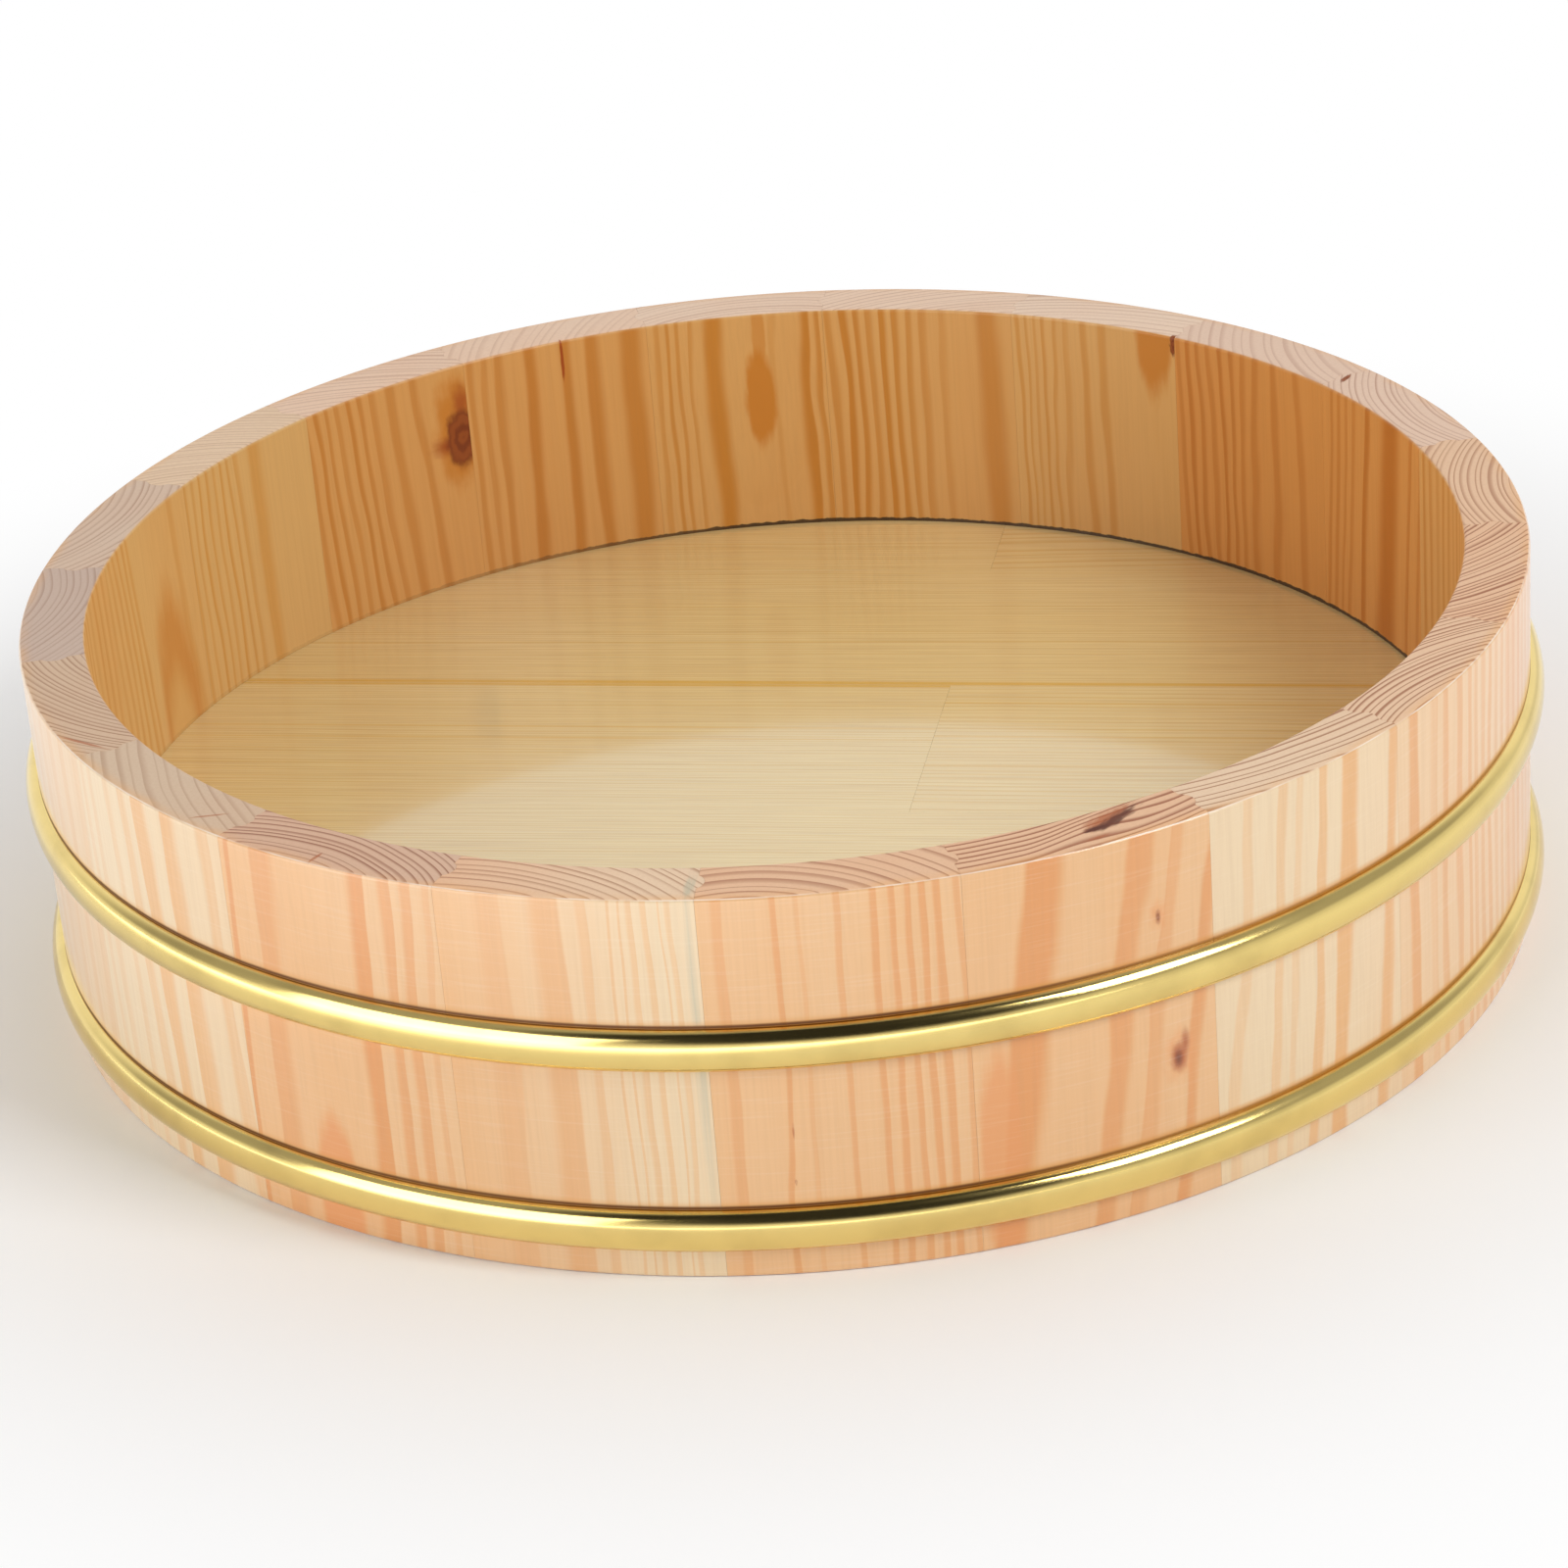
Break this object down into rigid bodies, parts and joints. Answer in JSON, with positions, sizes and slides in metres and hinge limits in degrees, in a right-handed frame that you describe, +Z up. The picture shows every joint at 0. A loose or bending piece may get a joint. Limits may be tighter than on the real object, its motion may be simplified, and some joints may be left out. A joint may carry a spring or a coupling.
{
  "type": "sushi rice tub",
  "caption": "Low round coopered tub of pine staves with tongued edges, a boarded floor seated in a groove and two half-round brass hoops, for cooling and mixing sushi rice.",
  "frame": {"origin": "centre of the tub on the surface it stands on", "axes": "+Z up through the open top, -Y towards the front seen in the picture, +X to the right"},
  "size_m": [0.3358, 0.3356, 0.085],
  "materials": {
    "wall_pine": "pine staves with orange heartwood and cream sapwood, satin clear lacquer, matte end grain on the rim",
    "floor_pine": "fine straight-grained straw-coloured pine, satin clear lacquer",
    "hoop_brass": "polished yellow brass"
  },
  "bodies": {
    "root": {"stave_01": "wall_pine", "stave_02": "wall_pine", "stave_03": "wall_pine", "stave_04": "wall_pine", "stave_05": "wall_pine", "stave_06": "wall_pine", "stave_07": "wall_pine", "stave_08": "wall_pine", "stave_09": "wall_pine", "stave_10": "wall_pine", "stave_11": "wall_pine", "stave_12": "wall_pine", "stave_13": "wall_pine", "stave_14": "wall_pine", "stave_15": "wall_pine", "stave_16": "wall_pine", "stave_17": "wall_pine", "stave_18": "wall_pine", "stave_19": "wall_pine", "stave_20": "wall_pine", "floor_board_1_left": "floor_pine", "floor_board_1_right": "floor_pine", "floor_board_2": "floor_pine", "floor_board_3_left": "floor_pine", "floor_board_3_right": "floor_pine", "floor_board_4": "floor_pine", "floor_board_5": "floor_pine", "upper_hoop": "hoop_brass", "lower_hoop": "hoop_brass"}
  },
  "joints": []
}
